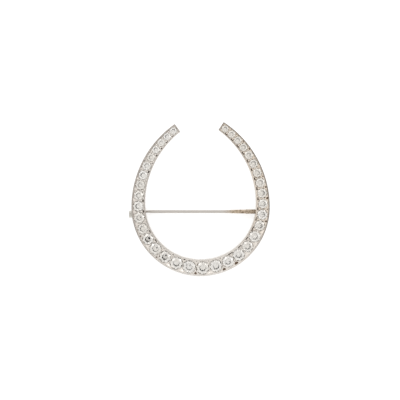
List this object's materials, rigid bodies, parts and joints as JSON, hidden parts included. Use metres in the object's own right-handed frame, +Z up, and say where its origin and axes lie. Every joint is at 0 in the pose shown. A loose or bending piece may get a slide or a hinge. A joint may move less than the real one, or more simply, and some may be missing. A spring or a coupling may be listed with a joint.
{
  "type": "horseshoe brooch",
  "caption": "Open horseshoe brooch of white metal set with a graduated row of round old-cut stones, with a hinged pin and a roller safety catch on the back.",
  "frame": {"origin": "bottom middle of the brooch's box as it rests by itself, face up, on its catch, its hinge ears and the back edge of the bow", "axes": "+X to the right of the face, +Y towards the open end, +Z up from the surface; the face leans 9.4 degrees from level, with the tips higher"},
  "size_m": [0.0326, 0.0352, 0.0078],
  "materials": {
    "white_metal": "worn polished white gold with a warm tint and dark dirt in its corners",
    "pin_metal": "drawn white metal, golden where it is soldered near the hinge",
    "diamond": "clear old-cut diamond, polished facets"
  },
  "bodies": {
    "setting": {"frame": "white_metal", "hinge_rivet": "white_metal", "stone_01": "diamond", "stone_02": "diamond", "stone_03": "diamond", "stone_04": "diamond", "stone_05": "diamond", "stone_06": "diamond", "stone_07": "diamond", "stone_08": "diamond", "stone_09": "diamond", "stone_10": "diamond", "stone_11": "diamond", "stone_12": "diamond", "stone_13": "diamond", "stone_14": "diamond", "stone_15": "diamond", "stone_16": "diamond", "stone_17": "diamond", "stone_18": "diamond", "stone_19": "diamond", "stone_20": "diamond", "stone_21": "diamond", "stone_22": "diamond", "stone_23": "diamond", "stone_24": "diamond", "stone_25": "diamond", "stone_26": "diamond", "stone_27": "diamond", "stone_28": "diamond", "stone_29": "diamond", "stone_30": "diamond", "stone_31": "diamond", "stone_32": "diamond", "stone_33": "diamond", "stone_34": "diamond", "stone_35": "diamond"},
    "pin": {"pin_stem": "pin_metal"},
    "roller": {"catch_roller": "white_metal"}
  },
  "joints": [
    {"name": "pin_hinge", "type": "hinge", "parent": "setting", "child": "pin", "pos_m": [0.01437, -0.00246, 0.00112], "axis": [0, -0.9866, -0.1629], "range_deg": [0, 90]},
    {"name": "catch_turn", "type": "hinge", "parent": "setting", "child": "roller", "pos_m": [-0.01383, -0.00246, 0.00112], "axis": [1, 0, 0], "range_deg": [0, 90]}
  ]
}
